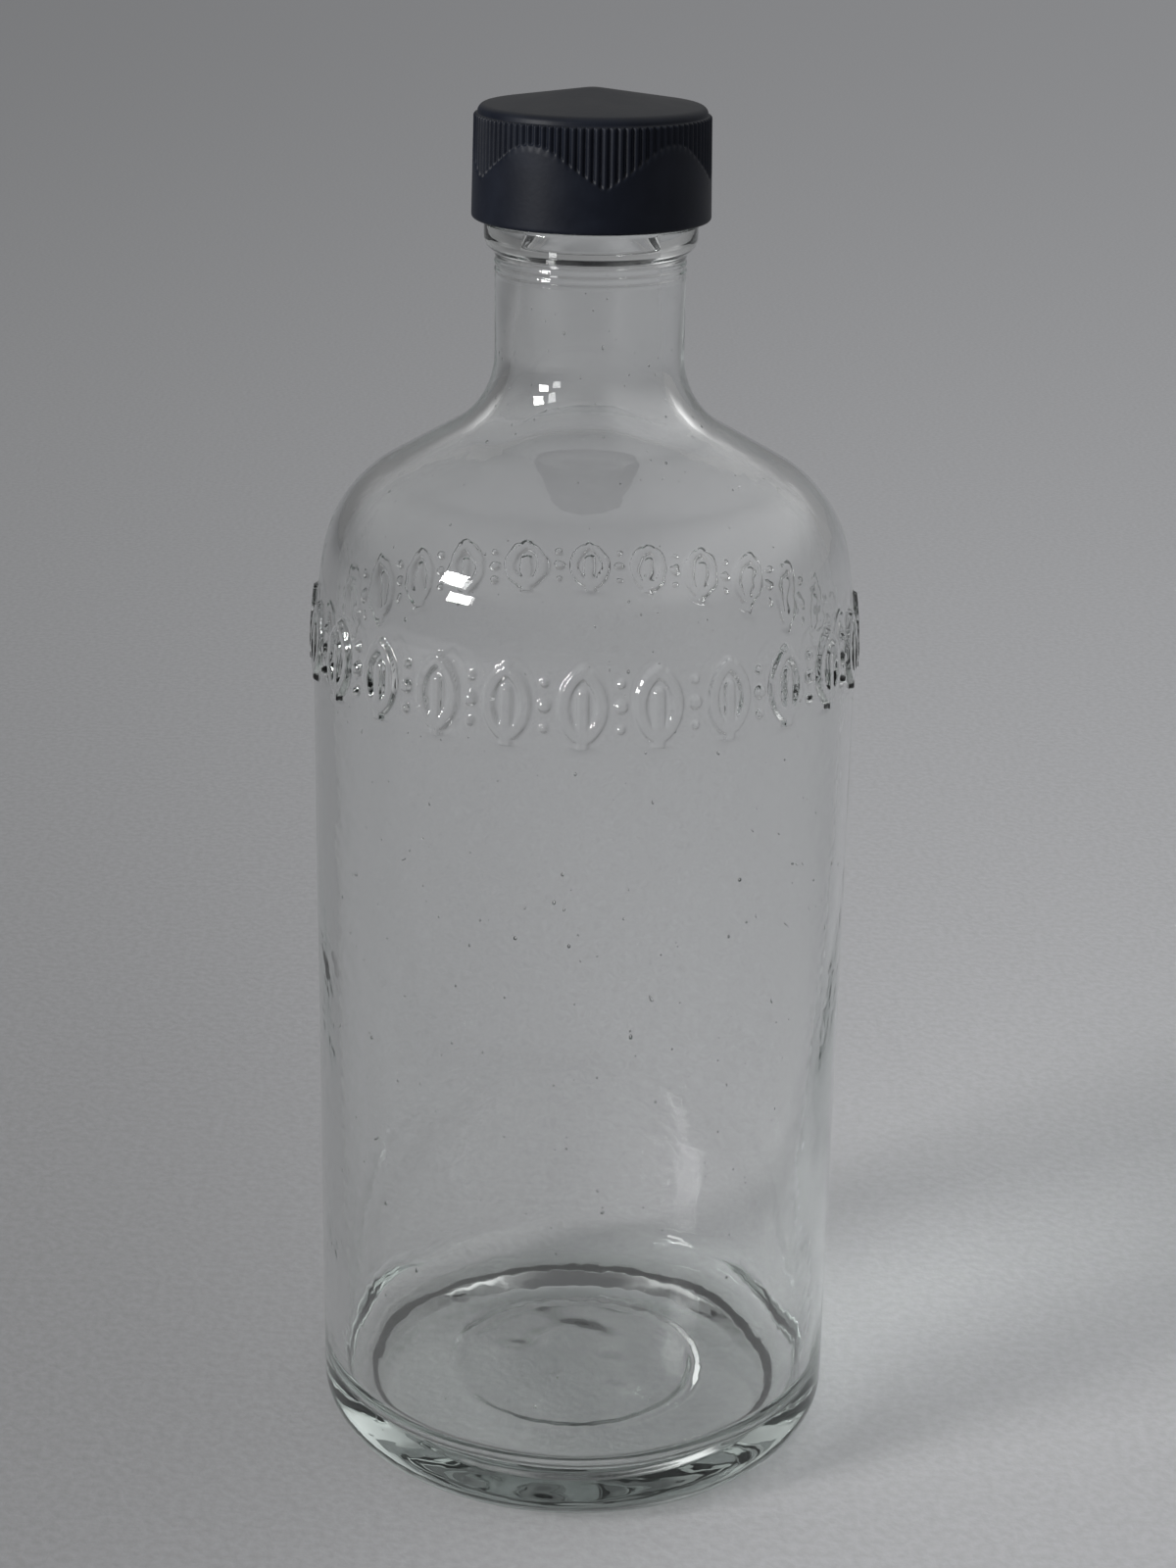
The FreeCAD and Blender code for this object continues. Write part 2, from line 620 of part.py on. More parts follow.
def main():
    doc = FreeCAD.newDocument("medicine_bottle")
    sheet = write_sheet(doc)
    size = {alias: sheet.get(alias) for alias, _ in SIZES}
    pieces = [make_bottle(doc, size), make_cap(doc, size)]
    check(doc, pieces)
    os.makedirs("parts", exist_ok=True)
    for piece in pieces:
        piece.Shape.exportStep(f"parts/{piece.Label}.step")
        box = piece.Shape.BoundBox
        print(f"{piece.Label}: {piece.Shape.Volume:.0f} mm3, z {box.ZMin:.2f} to {box.ZMax:.2f}")


main()
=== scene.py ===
"""Looks of the round glass medicine bottle with its knurled screw cap.

Both pieces are turned shapes, so each is a lathe mesh: rings of vertices that follow an outline
of lines and arcs, with relief and the unevenness of old glass added ring by ring.  Outlines are
in millimetres, on the axis and over the floor that the bottle stands on; meshes are in metres.
"""

import math
import random

import bpy
from mathutils import Matrix, Vector, noise


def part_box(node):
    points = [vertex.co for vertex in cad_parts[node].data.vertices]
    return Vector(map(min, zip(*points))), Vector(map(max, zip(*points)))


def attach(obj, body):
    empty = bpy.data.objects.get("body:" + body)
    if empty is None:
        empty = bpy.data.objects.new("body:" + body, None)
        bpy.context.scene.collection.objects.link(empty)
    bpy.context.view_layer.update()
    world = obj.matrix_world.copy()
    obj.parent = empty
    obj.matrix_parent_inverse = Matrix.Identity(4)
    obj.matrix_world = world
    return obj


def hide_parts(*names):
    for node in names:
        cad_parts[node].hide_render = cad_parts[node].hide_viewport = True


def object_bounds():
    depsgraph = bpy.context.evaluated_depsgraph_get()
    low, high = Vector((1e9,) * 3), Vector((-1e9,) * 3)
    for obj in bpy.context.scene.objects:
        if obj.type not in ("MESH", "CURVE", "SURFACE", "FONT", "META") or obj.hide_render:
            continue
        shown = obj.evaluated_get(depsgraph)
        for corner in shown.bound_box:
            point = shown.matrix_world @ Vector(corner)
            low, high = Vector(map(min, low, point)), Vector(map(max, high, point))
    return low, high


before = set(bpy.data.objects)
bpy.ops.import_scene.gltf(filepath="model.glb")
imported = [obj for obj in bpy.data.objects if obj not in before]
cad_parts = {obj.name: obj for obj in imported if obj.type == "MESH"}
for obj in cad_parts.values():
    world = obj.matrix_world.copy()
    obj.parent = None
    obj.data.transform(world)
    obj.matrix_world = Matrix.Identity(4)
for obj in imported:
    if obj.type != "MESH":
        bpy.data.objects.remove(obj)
CAD_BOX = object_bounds()
MM = 0.001

# ---- sizes read from the frame, in millimetres
BODY_RADIUS, _, LIP_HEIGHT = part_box("glass_bottle")[1] / MM
CAP_RADIUS, _, CAP_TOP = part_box("screw_cap")[1] / MM
SKIRT_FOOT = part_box("screw_cap")[0].z / MM

# ---- glass: base and body
BODY_WALL = 2.8
HEEL_RADIUS = 6.2
BEARING_WIDTH = 1.8
BEARING_OUTER = BODY_RADIUS - HEEL_RADIUS
BEARING_INNER = BEARING_OUTER - BEARING_WIDTH
PUSH_UP = 2.6
FLOOR_HEIGHT = 7.5
FLOOR_CROWN = 1.0
FLOOR_CORNER = 4.6

# ---- glass: shoulder, neck, transfer bead and finish
SHOULDER_START = 112.6
SWEEP_RADIUS = 98.4
KNUCKLE_RISE = 17.25
KNUCKLE_RADIUS = 16.4
SHOULDER_SLOPE = 29.8
NECK_FILLET = 11.3
NECK_RADIUS = 12.45
BORE_RADIUS = 9.1
FINISH_RADIUS = 12.6
FINISH_LENGTH = 12.6
FINISH_FILLET = 0.15
LIP_ROUND = 0.9
BEAD_RADIUS = 13.87
BEAD_UNDER = 2.2
BEAD_DEPTH = 1.5
BEAD_ROUND = 0.5
BEAD_FACE = LIP_HEIGHT - FINISH_LENGTH - BEAD_ROUND - BEAD_DEPTH
BEAD_BLEND = 0.2
BEAD_BLEND_TURN = 4

# ---- glass: moulded band of upright leaves, with a large and two small beads between them
BAND_MIDDLE = 119.3
BAND_REACH = 5.4
BAND_RELIEF = 0.6
BAND_STROKE = 0.55
BAND_EDGE = 0.34
LEAF_COUNT = 24
LEAF_HALF_WIDTH = 2.4
LEAF_HALF_HEIGHT = 4.4
VEIN_TOP = LEAF_HALF_HEIGHT * 0.35
LARGE_BEAD = 0.6
SMALL_BEAD = 0.3
SMALL_BEAD_RISE = LEAF_HALF_HEIGHT * 0.66

# ---- glass: pressed ring of the base, worn on one side, and the mottled middle inside it
BASE_RING = 17.8
BASE_RING_DEPTH = 0.65
RING_HALF_WIDTH = 1.4
RING_LEFT = 0.55
RING_WEAR = 0.45
RING_WEAR_TURN = 0.3
MOTTLE_SIZE = 6
MOTTLE_DEPTH = 0.4
MOTTLE_FADE = (9, 22)

# ---- glass: unevenness, and the heights between which it comes in and dies out
WAVE_AROUND = 1.4
WAVE_HEIGHT = 34
OUTSIDE_WAVE = 0.05
INSIDE_WAVE = 0.26
INSIDE_START = 40
WAVE_IN = (9, 26)
WAVE_OUT = (158, 168)
SWELL_SIZE = 15
SWELL_DEPTH = 0.3
SWELL_SLANT = 0.3
SWELL_OUT = (FLOOR_HEIGHT + 1, FLOOR_HEIGHT + 8)
RIPPLE_FOOT = 165.9
RIPPLE_PITCH = 1.05
RIPPLE_DEPTH = 0.065
RIPPLE_IN = (RIPPLE_FOOT, RIPPLE_FOOT + 1.2)
RIPPLE_OUT = (BEAD_FACE - 2, BEAD_FACE)

# ---- glass: seeds, the air bubbles in the wall
SEED_COUNT = 420
RANDOM_START = 11
SEED_DEPTH = (0.7, 1.7)
SEED_SIZE = (0.06, 0.14)
SEED_GROWTH = (1, 1, 1, 1.5, 2)
SEED_STRETCH = (1.0, 1.8)

# ---- cap: the arches stand over its foot, the knurling ends over the lip
CAP_TURN = 24.2
CAP_DRAFT = 1.2
CAP_FOOT = 0.4
CAP_BORE = 13.65
CAP_CORNER = 0.8
BORE_EDGE = 0.2
SKIRT_START = 0.2
CROWN_SLOPE = 9.0
CROWN_TIP = 9.0
RIM_ROUND = 1.1
RING_DROP = 0.06
KNURL_TOP = 0.75
GROOVES = 95
GROOVE_DEPTH = 0.42
GROOVE_END = 0.35
RIB_FULLNESS = 0.6
RIB_END = 0.3
ARCHES = 5
ARCH_CROWN = 10.5
ARCH_RADIUS = 6.1
ARCH_SLOPE = 36.0

# ---- mesh fineness: counts, most millimetres between rings, and degrees along an arc
AROUND = 132
BAND_AROUND = 7 * AROUND
CAP_AROUND = 8 * GROOVES
SEED_AROUND = 6
SEED_ROWS = 4
FLOOR_AROUND = 96
BAND_ROW = 0.26
RIPPLE_ROW = 0.16
RING_ROW = 0.25
BASE_ROW = 0.9
BEARING_ROW = 0.6
OUTER_WALL_ROW = 5.0
INNER_WALL_ROW = 6.0
SLOPE_ROW = 1.4
NECK_ROW = 1.2
FINISH_ROW = 2.5
CROWN_ROW = 1.2
SWEEP_STEP = 0.6
KNUCKLE_STEP = 3.0
FILLET_STEP = 4.0
HEEL_STEP = 5
BEAD_STEP = 8
LIP_STEP = 18
CAP_CORNER_STEP = 22.5
CAP_FOOT_STEP = 15
RIM_STEP = 9
TIP_STEP = 1.5
DOME_ROWS = 20
SKIRT_ROWS = 12
KNURL_ROWS = 18
GROOVE_END_SHARES = (0.35, 1.0)
RIB_END_TURNS = (20, 40, 60, 80, 90)

# ---- materials
GLASS_IOR = 1.52
GLASS_DEPTH = (0.81, 0.84, 0.828, 1)
SHADOW_SQUARE = (0.66, 0.67, 0.665)
SHADOW_GRAZING = (0.45, 0.46, 0.455)
CAP_DEEP = (0.0028, 0.0042, 0.0090)
CAP_CLOUD = (0.0058, 0.0078, 0.0140)
DUST = (0.02, 0.02, 0.0195, 1)
# painted shade: the floor's deep tone, to the left of the bottle
FLOOR_PAINTED_SHADE = (0.22, 0.22, 0.221)
FLOOR_PALE = (0.42, 0.42, 0.424)
GRAIN_DEEP = (0.93, 0.93, 0.93)
GRAIN_PALE = (1.03, 1.03, 1.04)

# ---- studio: painted shade runs sideways between two shares of a direction from the bottle
LIGHT_BOUNCES = 32
SKY_LOW = (0.17, 0.17, 0.17)
SKY_HIGH = (0.78, 0.79, 0.81)
PALE_GREY = (0.235, 0.235, 0.238)
DARK_GREY = (0.09, 0.09, 0.093)
WHITE = (1.0, 1.0, 1.0)
PAINTED_SHADE_LEFT = -0.8
PAINTED_SHADE_RIGHT = 0.5
PAINTED_SHADE_REACH = 0.12

# ---- studio: the floor in millimetres, lamps and camera in metres and degrees
FLOOR_RADII = (6000, 1200, 300)
LAMP_DISTANCE = 1.4
CAMERA_DISTANCE = 0.3943
CAMERA_TILT = 19.81
CAMERA_ROLL = 0.97
CAMERA_AIM = Vector((0.0008, 0, 0.001))
CAMERA_LENS = 65.5
CAMERA_SENSOR = 36
CAMERA_NEAR = 0.01


# ------------------------------------------------------------------ outlines


def arc(centre, radius, first, last, step):
    """Points along an arc, from the angle first to the angle last in degrees."""
    count = max(2, math.ceil(abs(last - first) / step))
    turn = [math.radians(first + (last - first) * i / count) for i in range(count + 1)]
    return [(centre[0] + radius * math.cos(a), centre[1] + radius * math.sin(a)) for a in turn]


def divided(start, end, longest):
    """Points after start and up to end, none further apart than longest."""
    count = max(1, math.ceil(math.dist(start, end) / longest))
    return [
        (start[0] + (end[0] - start[0]) * i / count, start[1] + (end[1] - start[1]) * i / count)
        for i in range(1, count + 1)
    ]


def dome_height(radius):
    """Height of the pushed-up base at a radius."""
    dome = (BEARING_INNER**2 + PUSH_UP**2) / (2 * PUSH_UP)
    return PUSH_UP - dome + math.sqrt(dome**2 - radius**2)


def dome_outline():
    """The pushed-up base from its middle out, finer where a pressed ring runs round it."""
    radii = [0.0]
    while radii[-1] < BEARING_INNER:
        near = abs(radii[-1] - BASE_RING) < 2 * RING_HALF_WIDTH
        radii.append(min(radii[-1] + (RING_ROW if near else BASE_ROW), BEARING_INNER))
    return [(radius, dome_height(radius)) for radius in radii]


def shoulder_outline(inset, neck, fillet, top):
    """Sweep, knuckle, slope and neck fillet, from the straight wall up to the neck's top."""
    wall = BODY_RADIUS - inset
    sweep = SWEEP_RADIUS - inset
    knuckle = KNUCKLE_RADIUS - inset
    turn = math.asin(KNUCKLE_RISE / SWEEP_RADIUS)
    lean = math.degrees(turn)
    tilt = math.radians(SHOULDER_SLOPE)
    step = sweep - knuckle
    centre = (wall - sweep + step * math.cos(turn), SHOULDER_START + step * math.sin(turn))
    high = (centre[0] + knuckle * math.sin(tilt), centre[1] + knuckle * math.cos(tilt))
    foot = neck + fillet * (1 - math.sin(tilt))
    foot_height = high[1] + (high[0] - foot) * math.tan(tilt)
    middle = (neck + fillet, foot_height + fillet * math.cos(tilt))
    points = arc((wall - sweep, SHOULDER_START), sweep, 0, lean, SWEEP_STEP)
    points += arc(centre, knuckle, lean, 90 - SHOULDER_SLOPE, KNUCKLE_STEP)[1:]
    points += divided(points[-1], (foot, foot_height), SLOPE_ROW)
    points += arc(middle, fillet, 270 - SHOULDER_SLOPE, 180, FILLET_STEP)[1:]
    points += divided(points[-1], (neck, top), NECK_ROW)
    return points


def glass_outer():
    """The outside of the glass, from the middle of the base to the lip."""
    reach = math.acos(1 - (BEAD_RADIUS - NECK_RADIUS) / BEAD_UNDER)
    under_foot = BEAD_FACE - BEAD_UNDER * math.sin(reach)
    face_top = BEAD_FACE + BEAD_DEPTH
    bead_top = face_top + BEAD_ROUND
    lip_middle = (FINISH_RADIUS - LIP_ROUND, LIP_HEIGHT - LIP_ROUND)
    points = dome_outline()
    points += divided(points[-1], (BEARING_OUTER, 0), BEARING_ROW)
    points += arc((BEARING_OUTER, HEEL_RADIUS), HEEL_RADIUS, 270, 360, HEEL_STEP)[1:]
    points += divided(points[-1], (BODY_RADIUS, SHOULDER_START), OUTER_WALL_ROW)
    points += shoulder_outline(0, NECK_RADIUS, NECK_FILLET, RIPPLE_FOOT)[1:]
    points += divided(points[-1], (NECK_RADIUS, under_foot - BEAD_BLEND), RIPPLE_ROW)
    under = (BEAD_RADIUS - BEAD_UNDER, BEAD_FACE)
    points += arc(under, BEAD_UNDER, BEAD_BLEND_TURN - math.degrees(reach), 0, BEAD_STEP)
    points += arc((BEAD_RADIUS - BEAD_ROUND, face_top), BEAD_ROUND, 0, 90, LIP_STEP)
    points += [(FINISH_RADIUS + FINISH_FILLET, bead_top), (FINISH_RADIUS, bead_top + FINISH_FILLET)]
    points += divided(points[-1], (FINISH_RADIUS, lip_middle[1]), FINISH_ROW)
    points += arc(lip_middle, LIP_ROUND, 0, 90, LIP_STEP)[1:]
    return points


def glass_inner():
    """The inside of the glass, from the middle of the floor to the lip."""
    wall = BODY_RADIUS - BODY_WALL
    flat = wall - FLOOR_CORNER
    dome = (flat**2 + FLOOR_CROWN**2) / (2 * FLOOR_CROWN)
    spread = math.degrees(math.asin(flat / dome))
    bore_top = LIP_HEIGHT - LIP_ROUND
    points = arc((0, FLOOR_HEIGHT + FLOOR_CROWN - dome), dome, 90, 90 - spread, spread / DOME_ROWS)
    points += arc((flat, FLOOR_HEIGHT + FLOOR_CORNER), FLOOR_CORNER, 270, 360, HEEL_STEP)[1:]
    points += divided(points[-1], (wall, SHOULDER_START), INNER_WALL_ROW)
    points += shoulder_outline(BODY_WALL, BORE_RADIUS, NECK_FILLET + BODY_WALL, bore_top)[1:]
    points += arc((BORE_RADIUS + LIP_ROUND, bore_top), LIP_ROUND, 180, 90, LIP_STEP)[1:]
    return points


def outline_radius(points, height):
    """Radius of an outline at a height between its heel and its bead."""
    foot = max((p for p in points if p[1] <= height), key=lambda p: p[1])
    head = min((p for p in points if p[1] > height), key=lambda p: p[1])
    share = (height - foot[1]) / (head[1] - foot[1])
    return foot[0] + (head[0] - foot[0]) * share


def band_rows(points):
    """The outline with close rows in place of its own where the moulded band lies."""
    low, high = BAND_MIDDLE - BAND_REACH, BAND_MIDDLE + BAND_REACH
    count = math.ceil((high - low) / BAND_ROW)
    heel_top = next(i for i, p in enumerate(points) if p[1] >= HEEL_RADIUS)
    heights = [low + (high - low) * i / count for i in range(count + 1)]
    rows = [(outline_radius(points, height), height) for height in heights]
    below = points[:heel_top] + [p for p in points[heel_top:] if p[1] < low]
    above = [p for p in points[heel_top:] if p[1] > high]
    return below, rows, above


# ------------------------------------------------------------------ lathe meshes


class Lathe:
    """Collects rings of vertices, in millimetres, and joins each to the last."""

    def __init__(self):
        self.vertices = []
        self.faces = []
        self.last = None

    def point(self, x, y, z):
        """Adds a vertex, and gives it as a ring of one."""
        self.vertices.append((x * MM, y * MM, z * MM))
        return [len(self.vertices) - 1]

    def ring(self, radius_at, height_at, count):
        """Adds a ring; radius_at and height_at give its radius and height for an angle."""
        ring = []
        for i in range(count):
            angle = 2 * math.pi * i / count
            radius = radius_at(angle)
            place = (radius * math.cos(angle), radius * math.sin(angle), height_at(angle))
            ring += self.point(*place)
        if self.last is not None:
            self.join(self.last, ring)
        self.last = ring

    def plain(self, radius, height, count):
        """Adds a round and level ring."""
        self.ring(lambda angle: radius, lambda angle: height, count)

    def close(self, x, y, z):
        """Ends the shape in a point."""
        self.join(self.last, self.point(x, y, z))

    def join(self, lower, upper):
        """Faces between two rings, where one count is a whole multiple of the other."""
        count = max(len(lower), len(upper))
        steps = min(len(lower), len(upper))
        share = count // steps
        for i in range(count if steps == 1 else steps):
            j = i + 1
            if len(lower) == 1:
                self.faces.append((lower[0], upper[j % count], upper[i]))
            elif len(upper) == 1:
                self.faces.append((lower[i], lower[j % count], upper[0]))
            elif len(lower) == steps:
                head = [upper[k % count] for k in range(j * share, i * share - 1, -1)]
                self.faces.append((lower[i], lower[j % steps], *head))
            else:
                foot = [lower[k % count] for k in range(i * share, j * share + 1)]
                self.faces.append((*foot, upper[j % steps], upper[i]))

    def piece(self, name, material):
        """Makes the mesh and its object."""
        mesh = bpy.data.meshes.new(name)
        mesh.from_pydata(self.vertices, [], self.faces)
        mesh.polygons.foreach_set("use_smooth", [True] * len(mesh.polygons))
        mesh.materials.append(material)
        piece = bpy.data.objects.new(name, mesh)
        bpy.context.scene.collection.objects.link(piece)
        return piece


# ------------------------------------------------------------------ glass


def ease(low, high, value):
    """0 below low, 1 above high and a soft rise between."""
    share = min(max((value - low) / (high - low), 0.0), 1.0)
    return share * share * (3 - 2 * share)


def leaf_line(across, up):
    """How far a point of the band lies from the nearest line of a leaf about its middle."""
    bow = (LEAF_HALF_HEIGHT**2 + LEAF_HALF_WIDTH**2) / (2 * LEAF_HALF_WIDTH)
    if abs(up) < LEAF_HALF_HEIGHT:
        edge = abs(math.hypot(across + bow - LEAF_HALF_WIDTH, up) - bow)
    else:
        edge = math.hypot(across, abs(up) - LEAF_HALF_HEIGHT)
    vein = math.hypot(across, max(up - VEIN_TOP, 0))
    return min(edge, vein)


def raised(half_width, distance):
    """1 within a moulded line's half width, falling softly to 0 over its edge."""
    return 1 - ease(half_width, half_width + BAND_EDGE, distance)


def band_relief(angle, height):
    """How far the moulded band stands out: upright leaves with beads between them."""
    pitch = 2 * math.pi / LEAF_COUNT
    across = abs((angle + pitch / 2) % pitch - pitch / 2) * BODY_RADIUS
    gap = pitch / 2 * BODY_RADIUS - across
    up = height - BAND_MIDDLE
    stroke = raised(BAND_STROKE, leaf_line(across, up))
    large = raised(LARGE_BEAD, math.hypot(gap, up))
    small = raised(SMALL_BEAD, math.hypot(gap, abs(up) - SMALL_BEAD_RISE))
    return BAND_RELIEF * max(stroke, large, small)


def glass_wave(angle, height, depth, start):
    """Slow unevenness of old glass, drawn out along the height."""
    across = (math.cos(angle) * WAVE_AROUND, math.sin(angle) * WAVE_AROUND)
    return 2 * depth * noise.noise(Vector((*across, height / WAVE_HEIGHT + start)))


def free_wall(height):
    """1 on the free wall and 0 at the base and the finish, which the mould keeps true."""
    return ease(*WAVE_IN, height) * (1 - ease(*WAVE_OUT, height))


def neck_ripple(height):
    """Fine level ripples that the neck has just under the transfer bead."""
    share = ease(*RIPPLE_IN, height) * (1 - ease(*RIPPLE_OUT, height))
    return RIPPLE_DEPTH * share * math.sin(2 * math.pi * height / RIPPLE_PITCH)


def base_mark(angle, radius):
    """The ring pressed into the base, worn away on one side, and its mottled middle."""
    worn = RING_LEFT + RING_WEAR * math.cos(angle + RING_WEAR_TURN)
    ring = BASE_RING_DEPTH * worn * (1 - ease(0, RING_HALF_WIDTH, abs(radius - BASE_RING)))
    place = Vector((math.cos(angle), math.sin(angle), 0)) * radius / MOTTLE_SIZE
    return ring + MOTTLE_DEPTH * noise.noise(place) * (1 - ease(*MOTTLE_FADE, radius))


def add_outside(lathe):
    """The outer skin, with finer rings where the moulded band stands proud."""
    below, rows, above = band_rows(glass_outer())
    lathe.last = lathe.point(0, 0, PUSH_UP)
    for radius, height in below[1:]:
        wave = free_wall(height) * OUTSIDE_WAVE
        on_base = radius <= BEARING_INNER and height <= PUSH_UP
        lathe.ring(
            lambda a: radius + glass_wave(a, height, wave, 0),
            lambda a: height + (base_mark(a, radius) if on_base else 0),
            AROUND,
        )
    for radius, height in rows:
        lathe.ring(
            lambda a: radius + glass_wave(a, height, OUTSIDE_WAVE, 0) + band_relief(a, height),
            lambda a: height,
            BAND_AROUND,
        )
    for radius, height in above:
        wave = free_wall(height) * OUTSIDE_WAVE
        ripple = neck_ripple(height)
        lathe.ring(
            lambda a: radius + glass_wave(a, height, wave, 0) + ripple,
            lambda a: height,
            AROUND,
        )


def floor_lift(angle, radius, height):
    """Soft swells of the inner floor, which die out up the wall."""
    share = 1 - ease(*SWELL_OUT, height)
    place = Vector((math.cos(angle), math.sin(angle), SWELL_SLANT)) * radius / SWELL_SIZE
    return SWELL_DEPTH * share * noise.noise(place)


def add_inside(lathe):
    """The inner skin, from the lip down to the floor."""
    for radius, height in reversed(glass_inner()[1:]):
        wave = free_wall(height) * INSIDE_WAVE
        lathe.ring(
            lambda a: radius + glass_wave(a, height, wave, INSIDE_START),
            lambda a: height + floor_lift(a, radius, height),
            AROUND,
        )
    lathe.close(0, 0, FLOOR_HEIGHT + FLOOR_CROWN + floor_lift(0, 0, FLOOR_HEIGHT))


def add_seeds(lathe):
    """Air bubbles inside the thickness of the wall, some of them drawn out upwards."""
    rng = random.Random(RANDOM_START)
    wall = glass_outer()
    for _ in range(SEED_COUNT):
        height = rng.uniform(HEEL_RADIUS, RIPPLE_FOOT)
        radius = outline_radius(wall, height) - rng.uniform(*SEED_DEPTH)
        size = rng.uniform(*SEED_SIZE) * rng.choice(SEED_GROWTH)
        angle = rng.uniform(0, 2 * math.pi)
        middle = (radius * math.cos(angle), radius * math.sin(angle), height)
        add_bubble(lathe, middle, size, size * rng.uniform(*SEED_STRETCH))


def add_bubble(lathe, middle, wide, tall):
    """A small closed hollow whose faces look inwards, so that it is air in the glass."""
    x, y, z = middle
    chain = [lathe.point(x, y, z + tall)]
    for row in range(1, SEED_ROWS):
        tilt = math.pi * row / SEED_ROWS
        reach = wide * math.sin(tilt)
        rise = z + tall * math.cos(tilt)
        ring = []
        for i in range(SEED_AROUND):
            turn = 2 * math.pi * i / SEED_AROUND
            ring += lathe.point(x + reach * math.cos(turn), y + reach * math.sin(turn), rise)
        chain.append(ring)
    chain.append(lathe.point(x, y, z - tall))
    for upper, lower in zip(chain, chain[1:]):
        lathe.join(upper, lower)


def make_glass():
    """The bottle: both skins of the glass, and the seeds between them, as one mesh."""
    lathe = Lathe()
    add_outside(lathe)
    add_inside(lathe)
    add_seeds(lathe)
    piece = lathe.piece("bottle_glass", glass_material())
    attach(piece, "root")
    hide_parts("glass_bottle")


# ------------------------------------------------------------------ cap


def side_radius(height):
    """Radius of the cap's drafted side at a height."""
    return CAP_RADIUS - (height - SKIRT_FOOT - CAP_FOOT) * math.tan(math.radians(CAP_DRAFT))


def arch_height(angle):
    """Height of the smooth arches' upper edge at an angle round the cap."""
    pitch = 2 * math.pi / ARCHES
    across = CAP_RADIUS * math.sin(abs((angle + pitch / 2) % pitch - pitch / 2))
    slope = math.radians(ARCH_SLOPE)
    crown = SKIRT_FOOT + ARCH_CROWN
    reach = ARCH_RADIUS * math.sin(slope)
    if across < reach:
        return crown - ARCH_RADIUS + math.sqrt(ARCH_RADIUS**2 - across**2)
    return crown - ARCH_RADIUS * (1 - math.cos(slope)) - (across - reach) * math.tan(slope)


def groove_cut(angle):
    """Depth of the knurling at an angle: sharp between ribs and rounded on them."""
    wave = 0.5 - 0.5 * math.cos(GROOVES * angle)
    return GROOVE_DEPTH * (1 - wave**RIB_FULLNESS)


def add_bore(lathe):
    """From the middle of the seat out to the bore, down it and round the foot of the skirt."""
    lathe.last = lathe.point(0, 0, LIP_HEIGHT)
    corner = (CAP_BORE - CAP_CORNER, LIP_HEIGHT - CAP_CORNER)
    foot = (CAP_RADIUS - CAP_FOOT, SKIRT_FOOT + CAP_FOOT)
    points = arc(corner, CAP_CORNER, 90, 0, CAP_CORNER_STEP)
    points += [(CAP_BORE, SKIRT_FOOT + BORE_EDGE), (CAP_BORE + BORE_EDGE, SKIRT_FOOT)]
    points += arc(foot, CAP_FOOT, -90, -CAP_DRAFT, CAP_FOOT_STEP)
    for radius, height in points:
        lathe.plain(radius, height, CAP_AROUND)


def add_side_ring(lathe, height_at, cut_share):
    """One ring of the side, with the knurling cut to a share of its depth."""

    def reach(angle):
        return side_radius(height_at(angle)) - cut_share * groove_cut(angle)

    lathe.ring(reach, height_at, CAP_AROUND)


def knurl_height(angle, top, row):
    """Height of a row of the knurled band, between the grooves' full depth and the top."""
    start = arch_height(angle) + GROOVE_END
    return start + (top - start) * row / KNURL_ROWS


def add_side(lathe):
    """The smooth skirt up to the arches, and the knurled band over them."""
    low = SKIRT_FOOT + CAP_FOOT + SKIRT_START
    top = LIP_HEIGHT + KNURL_TOP - RIB_END
    for row in range(SKIRT_ROWS + 1):
        add_side_ring(lathe, lambda a: low + (arch_height(a) - low) * row / SKIRT_ROWS, 0)
    for share in GROOVE_END_SHARES:
        add_side_ring(lathe, lambda a: arch_height(a) + GROOVE_END * share, share)
    for row in range(1, KNURL_ROWS + 1):
        add_side_ring(lathe, lambda a: knurl_height(a, top, row), 1)


def add_rib_ends(lathe):
    """The ribs' rounded upper ends, which fall back to the ring under the rim."""
    foot = LIP_HEIGHT + KNURL_TOP - RIB_END
    floor = side_radius(foot) - GROOVE_DEPTH
    for turn in RIB_END_TURNS:
        rib = math.cos(math.radians(turn))
        rise = RIB_END * math.sin(math.radians(turn))
        lathe.ring(
            lambda a: floor + (GROOVE_DEPTH - groove_cut(a)) * rib,
            lambda a: foot + rise,
            CAP_AROUND,
        )


def add_crown(lathe):
    """Ring, rounded rim, shallow cone and its rounded tip."""
    tilt = math.radians(CROWN_SLOPE)
    ring = side_radius(LIP_HEIGHT + KNURL_TOP) - GROOVE_DEPTH - RING_DROP
    tip_edge = (CROWN_TIP * math.sin(tilt), CAP_TOP - CROWN_TIP * (1 - math.cos(tilt)))
    rim_side = ring - RIM_ROUND * (1 - math.sin(tilt))
    rim_top = (rim_side, tip_edge[1] - (rim_side - tip_edge[0]) * math.tan(tilt))
    rim = (ring - RIM_ROUND, rim_top[1] - RIM_ROUND * math.cos(tilt))
    points = arc(rim, RIM_ROUND, 0, 90 - CROWN_SLOPE, RIM_STEP)
    points += divided(rim_top, tip_edge, CROWN_ROW)
    points += arc((0, CAP_TOP - CROWN_TIP), CROWN_TIP, 90 - CROWN_SLOPE, 90, TIP_STEP)[1:-1]
    for radius, height in points:
        lathe.plain(radius, height, CAP_AROUND)
    lathe.close(0, 0, CAP_TOP)


def make_cap():
    """The cap, turned round its axis to where the photograph has its arches."""
    lathe = Lathe()
    add_bore(lathe)
    add_side(lathe)
    add_rib_ends(lathe)
    add_crown(lathe)
    piece = lathe.piece("knurled_cap", cap_material())
    piece.data.transform(Matrix.Rotation(math.radians(CAP_TURN), 4, "Z"))
    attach(piece, "root")
    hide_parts("screw_cap")


# ------------------------------------------------------------------ materials


